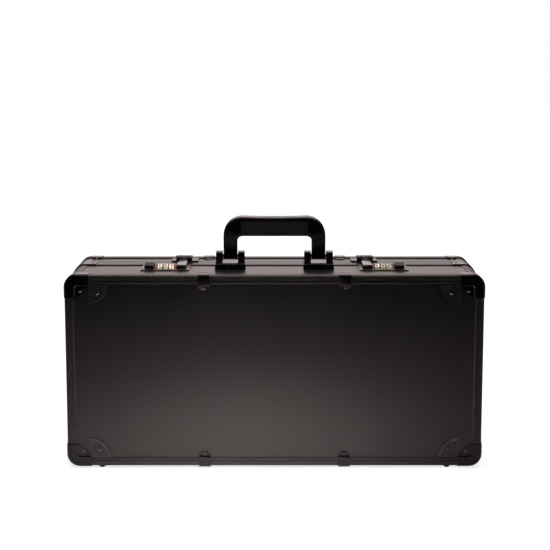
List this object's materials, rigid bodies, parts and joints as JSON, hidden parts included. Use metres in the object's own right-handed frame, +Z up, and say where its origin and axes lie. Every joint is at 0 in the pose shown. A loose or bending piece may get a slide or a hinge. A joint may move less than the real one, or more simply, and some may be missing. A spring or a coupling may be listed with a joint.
{
  "type": "attache case",
  "caption": "Hard-sided black attache case with framed panels, capped corners, folding top handle, two combination dial latches and a hinged lid.",
  "frame": {"origin": "centre of the footprint at the bottom of the feet, case closed and standing on its hinge side", "axes": "+X along the width, -Y is the base shell's face, +Y is the lid's face, +Z up towards the handle"},
  "size_m": [0.5434, 0.122, 0.3253],
  "materials": {
    "panel_black": "fine pebble grain, satin",
    "frame_black": "black anodised, satin",
    "fitting_black": "semi-gloss black",
    "rivet_dark": "dark nickel",
    "hinge_steel": "black oxide",
    "handle_plastic": "glossy moulded black",
    "grip_rubber": "fine ribbed",
    "lock_black": "satin black plate",
    "lock_inner": "zinc plated",
    "dial_cream": "cream with black digits",
    "dial_cover": "copper brown",
    "indicator_red": "red",
    "hasp_steel": "dark chrome",
    "foot_rubber": "matt",
    "foam_grey": "open-cell foam",
    "lining_black": "felt lining"
  },
  "bodies": {
    "base": {"base_face_panel": "panel_black", "base_top_panel": "panel_black", "base_bottom_panel": "panel_black", "base_side_panels": "panel_black", "base_corner_posts": "frame_black", "base_edge_trim": "frame_black", "base_rim_rail": "frame_black", "base_corner_caps": "fitting_black", "base_corner_brackets": "fitting_black", "base_fan_plates": "rivet_dark", "base_frame_clips": "fitting_black", "base_rivets": "rivet_dark", "base_feet": "foot_rubber", "base_hinge_leaf": "hinge_steel", "hinge_pin": "hinge_steel", "base_lining": "lining_black", "handle_brackets": "handle_plastic", "handle_pins": "hinge_steel", "handle_backing_plates": "lock_inner", "lock_plates": "lock_black", "lock_housings": "lock_inner", "dial_covers": "dial_cover", "dial_spindles": "lock_inner", "lock_indicators": "indicator_red", "lock_screws": "rivet_dark"},
    "lid": {"lid_face_panel": "panel_black", "lid_top_panel": "panel_black", "lid_bottom_panel": "panel_black", "lid_side_panels": "panel_black", "lid_corner_posts": "frame_black", "lid_edge_trim": "frame_black", "lid_rim_rail": "frame_black", "lid_corner_caps": "fitting_black", "lid_corner_brackets": "fitting_black", "lid_fan_plates": "rivet_dark", "lid_frame_clips": "fitting_black", "lid_rivets": "rivet_dark", "lid_feet": "foot_rubber", "lid_hinge_leaf": "hinge_steel", "lid_foam": "foam_grey", "hasp_bases": "hasp_steel", "hasp_pins": "hinge_steel", "hasp_screws": "rivet_dark"},
    "handle": {"handle_loop": "handle_plastic", "handle_grip_panels": "grip_rubber"},
    "left_hasp": {"left_hasp_tongue": "hasp_steel"},
    "right_hasp": {"right_hasp_tongue": "hasp_steel"},
    "left_slider": {"left_slider": "fitting_black", "left_latch_bar": "lock_inner"},
    "right_slider": {"right_slider": "fitting_black", "right_latch_bar": "lock_inner"},
    "base_stays": {"base_stay_links": "hinge_steel"},
    "lid_stays": {"lid_stay_links": "hinge_steel"},
    "left_dial_1": {"left_dial_1": "dial_cream"},
    "left_dial_2": {"left_dial_2": "dial_cream"},
    "left_dial_3": {"left_dial_3": "dial_cream"},
    "right_dial_1": {"right_dial_1": "dial_cream"},
    "right_dial_2": {"right_dial_2": "dial_cream"},
    "right_dial_3": {"right_dial_3": "dial_cream"}
  },
  "joints": [
    {"name": "lid_hinge", "type": "hinge", "parent": "base", "child": "lid", "pos_m": [0, 0.019, 0.0018], "axis": [-1, 0, 0], "range_deg": [0, 95]},
    {"name": "handle_pivot", "type": "hinge", "parent": "base", "child": "handle", "pos_m": [0, -0.011, 0.2723], "axis": [1, 0, 0], "range_deg": [-95, 95]},
    {"name": "left_hasp_pivot", "type": "hinge", "parent": "lid", "child": "left_hasp", "pos_m": [-0.123, 0.0225, 0.2611], "axis": [-1, 0, 0], "range_deg": [0, 105]},
    {"name": "right_hasp_pivot", "type": "hinge", "parent": "lid", "child": "right_hasp", "pos_m": [0.123, 0.0225, 0.2611], "axis": [-1, 0, 0], "range_deg": [0, 105]},
    {"name": "left_slider_slide", "type": "slide", "parent": "base", "child": "left_slider", "axis": [-1, 0, 0], "range_m": [0, 0.004], "stiffness_N_per_m": 300},
    {"name": "right_slider_slide", "type": "slide", "parent": "base", "child": "right_slider", "axis": [1, 0, 0], "range_m": [0, 0.004], "stiffness_N_per_m": 300},
    {"name": "base_stay_pivot", "type": "hinge", "parent": "base", "child": "base_stays", "pos_m": [0, -0.00152, 0.05818], "axis": [-1, 0, 0], "range_deg": [0, 95]},
    {"name": "lid_stay_pivot", "type": "hinge", "parent": "lid", "child": "lid_stays", "pos_m": [0, 0.03147, 0.06049], "axis": [-1, 0, 0], "range_deg": [-95, 0]},
    {"name": "left_dial_1_turn", "type": "hinge", "parent": "base", "child": "left_dial_1", "pos_m": [-0.1361, -0.012, 0.25185], "axis": [1, 0, 0], "continuous": true},
    {"name": "left_dial_2_turn", "type": "hinge", "parent": "base", "child": "left_dial_2", "pos_m": [-0.14375, -0.012, 0.25185], "axis": [1, 0, 0], "continuous": true},
    {"name": "left_dial_3_turn", "type": "hinge", "parent": "base", "child": "left_dial_3", "pos_m": [-0.1514, -0.012, 0.25185], "axis": [1, 0, 0], "continuous": true},
    {"name": "right_dial_1_turn", "type": "hinge", "parent": "base", "child": "right_dial_1", "pos_m": [0.1361, -0.012, 0.25185], "axis": [1, 0, 0], "continuous": true},
    {"name": "right_dial_2_turn", "type": "hinge", "parent": "base", "child": "right_dial_2", "pos_m": [0.14375, -0.012, 0.25185], "axis": [1, 0, 0], "continuous": true},
    {"name": "right_dial_3_turn", "type": "hinge", "parent": "base", "child": "right_dial_3", "pos_m": [0.1514, -0.012, 0.25185], "axis": [1, 0, 0], "continuous": true}
  ],
  "couplings": [
    {"joint": "base_stay_pivot", "follows": "lid_hinge", "ratio": 1},
    {"joint": "lid_stay_pivot", "follows": "lid_hinge", "ratio": -1}
  ]
}
